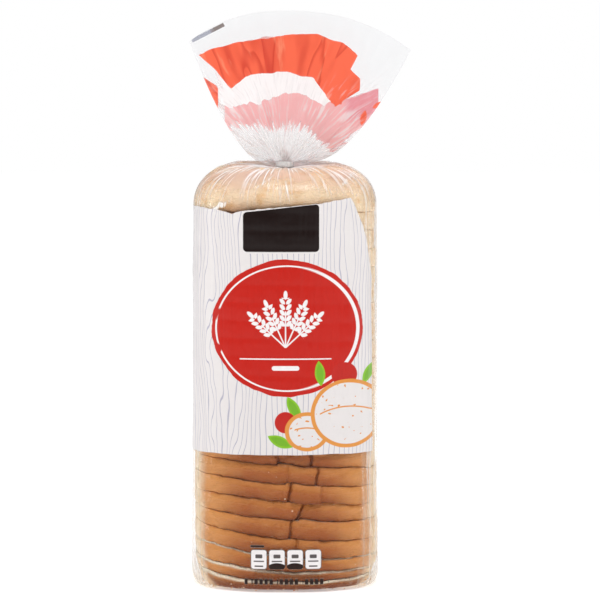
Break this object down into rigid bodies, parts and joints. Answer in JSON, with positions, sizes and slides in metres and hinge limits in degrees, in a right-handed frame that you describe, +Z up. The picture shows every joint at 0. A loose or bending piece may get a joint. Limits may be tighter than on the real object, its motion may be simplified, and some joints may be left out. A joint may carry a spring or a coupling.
{
  "type": "loaf in bread bag",
  "caption": "Sliced sandwich loaf standing on its heel in a clear printed bread bag, drawn in to a tied neck with an open, pleated tail above.",
  "frame": {"origin": "middle of the flat base that the loaf stands on", "axes": "+Z up the loaf towards the tied neck, -Y the side of the domed top crust, +X the right side as seen from the top crust"},
  "size_m": [0.1471, 0.1064, 0.381],
  "materials": {
    "bag_film": "clear thin film over bread, printed band",
    "bread_crust": "soft matte crust",
    "tie": "satin"
  },
  "bodies": {
    "root": {"bag": "bag_film", "twist_tie": "tie"}
  },
  "joints": []
}
